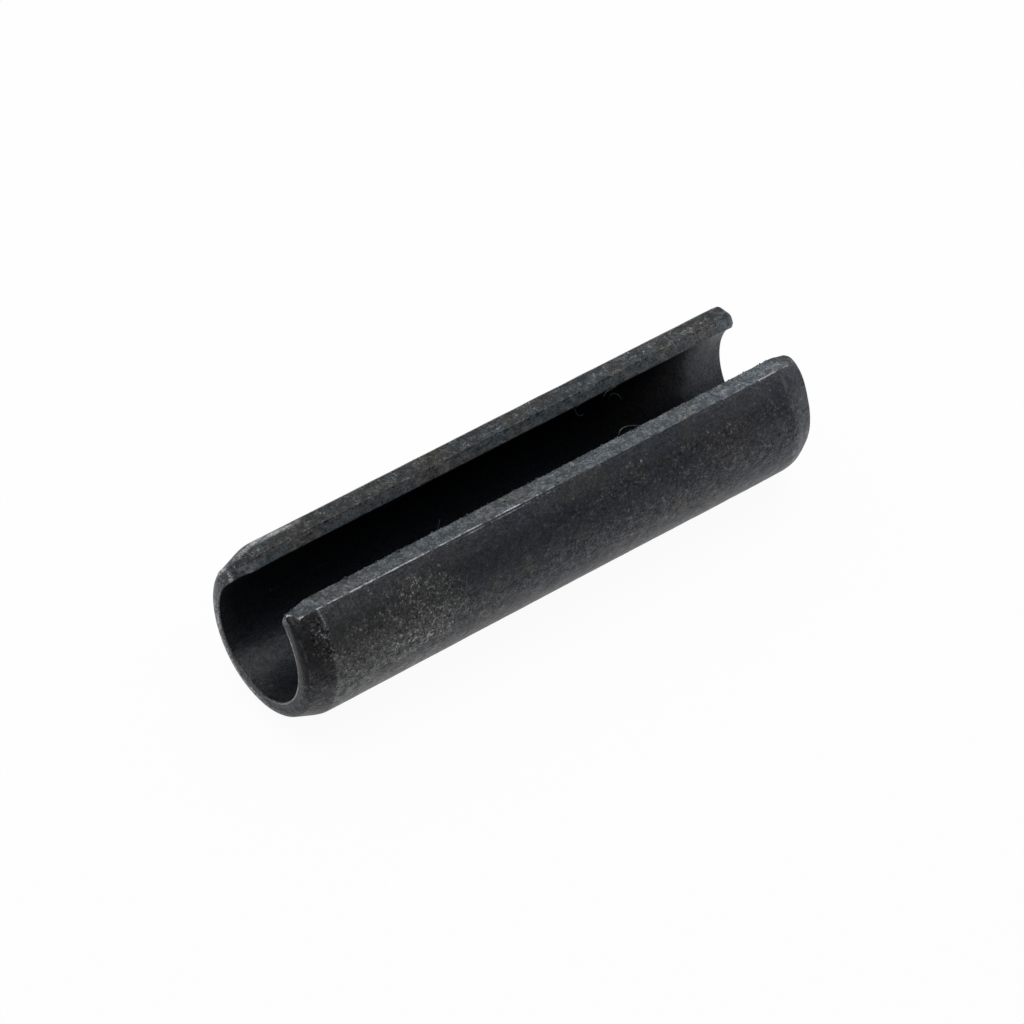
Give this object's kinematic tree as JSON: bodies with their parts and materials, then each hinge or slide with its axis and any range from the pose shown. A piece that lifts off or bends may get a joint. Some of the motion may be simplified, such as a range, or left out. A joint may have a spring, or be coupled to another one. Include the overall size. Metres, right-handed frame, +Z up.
{
  "type": "spring pin",
  "caption": "Slotted spring pin: a short tube of spring steel strip rolled to a C, split along its length and drawn in at both ends, pressed into a hole to fasten or locate.",
  "frame": {"origin": "bottom centre of the pin as it lies, on the surface under the middle of its length", "axes": "+X along the pin, +Z up through the middle of the slot"},
  "size_m": [0.0302, 0.0084, 0.0075],
  "materials": {
    "blackened_spring_steel": "dark phosphate coat with a film of oil, satin and slightly grainy"
  },
  "bodies": {
    "root": {"spring_pin": "blackened_spring_steel"}
  },
  "joints": []
}
